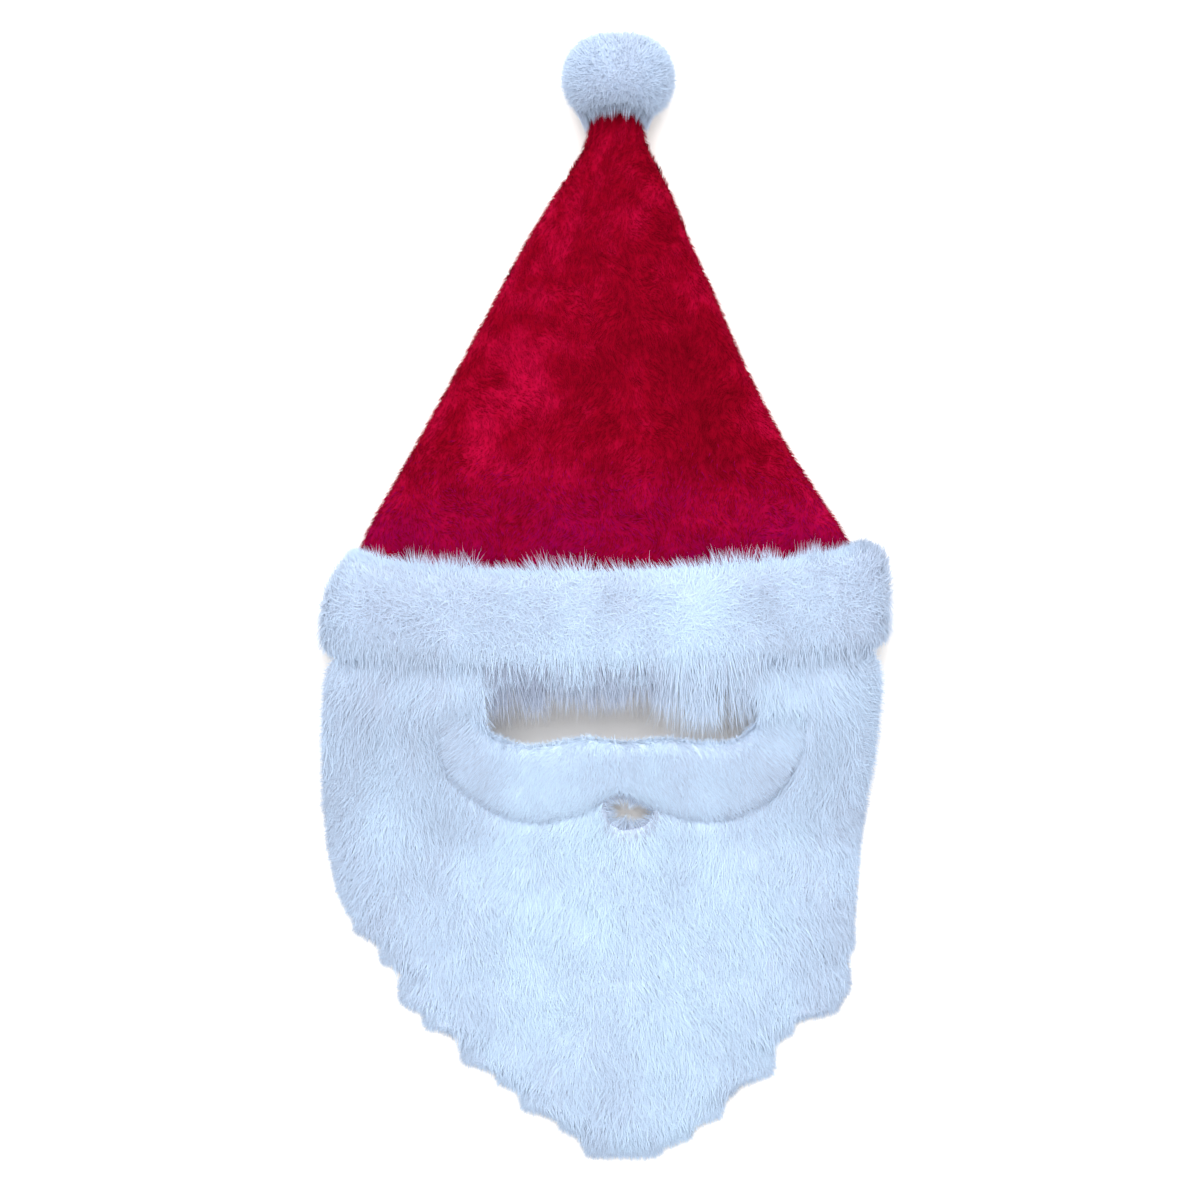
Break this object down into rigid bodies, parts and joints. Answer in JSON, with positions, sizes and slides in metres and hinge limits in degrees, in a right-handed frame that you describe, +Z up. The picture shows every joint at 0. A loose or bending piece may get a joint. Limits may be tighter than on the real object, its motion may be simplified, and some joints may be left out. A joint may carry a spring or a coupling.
{
  "type": "santa hat with beard",
  "caption": "Limp red plush santa hat lying flat on its back, with a white fur band, a pompom and an attached fur beard with eye slot, mouth hole and raised moustache.",
  "frame": {"origin": "on the surface that the hat lies on, under the middle of its box", "axes": "+X to the right in the picture, +Y from the beard's tip towards the pompom, +Z up from the surface"},
  "size_m": [0.3032, 0.5866, 0.0545],
  "materials": {
    "red_plush": "short pile plush, brushed nap",
    "white_fur": "long pile fake fur",
    "short_nap": "short dense nap"
  },
  "bodies": {
    "root": {"crown": "red_plush", "band": "white_fur", "beard": "white_fur", "moustache": "short_nap", "pompom": "white_fur"}
  },
  "joints": []
}
